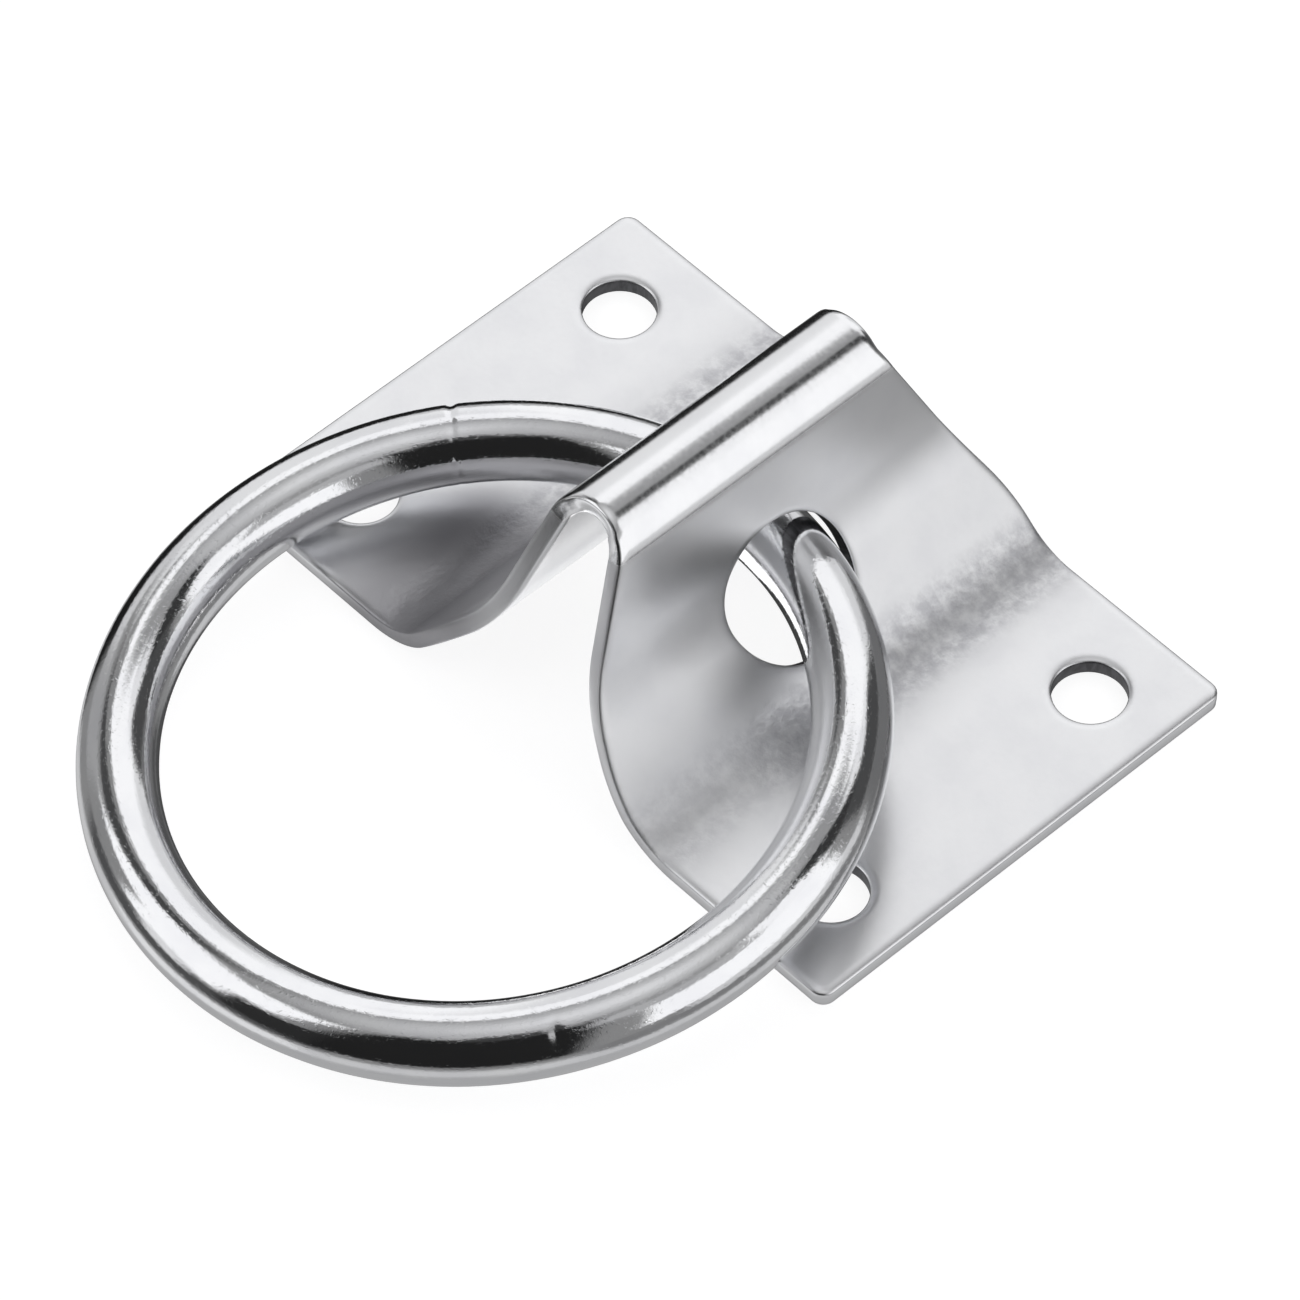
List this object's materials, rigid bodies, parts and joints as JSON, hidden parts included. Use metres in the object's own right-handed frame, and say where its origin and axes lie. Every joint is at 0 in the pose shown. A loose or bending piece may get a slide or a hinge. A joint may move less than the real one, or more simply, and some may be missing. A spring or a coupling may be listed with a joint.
{
  "type": "tie ring plate",
  "caption": "Pressed steel plate with a raised ridge and a loose round ring that swings through it, screwed down as a tie, lashing or light lifting point.",
  "frame": {"origin": "middle of the plate's mounting face, at the centre of the four screw holes", "axes": "+Z away from the surface the plate is screwed to, +X across the ridge, +Y along the ridge; at rest the ring lies over on the -Y side"},
  "size_m": [0.0694, 0.0808, 0.024],
  "materials": {
    "zinc_plated_sheet": "bright zinc plated sheet steel, satin with soft forming marks",
    "zinc_plated_wire": "bright zinc plated round wire, smoother and glossier than the sheet"
  },
  "bodies": {
    "plate": {"mounting_plate": "zinc_plated_sheet"},
    "ring": {"ring": "zinc_plated_wire"}
  },
  "joints": [
    {"name": "ring_swing", "type": "hinge", "parent": "plate", "child": "ring", "pos_m": [0, 0.0015, 0.0091], "axis": [-1, 0, 0], "range_deg": [0, 191]}
  ]
}
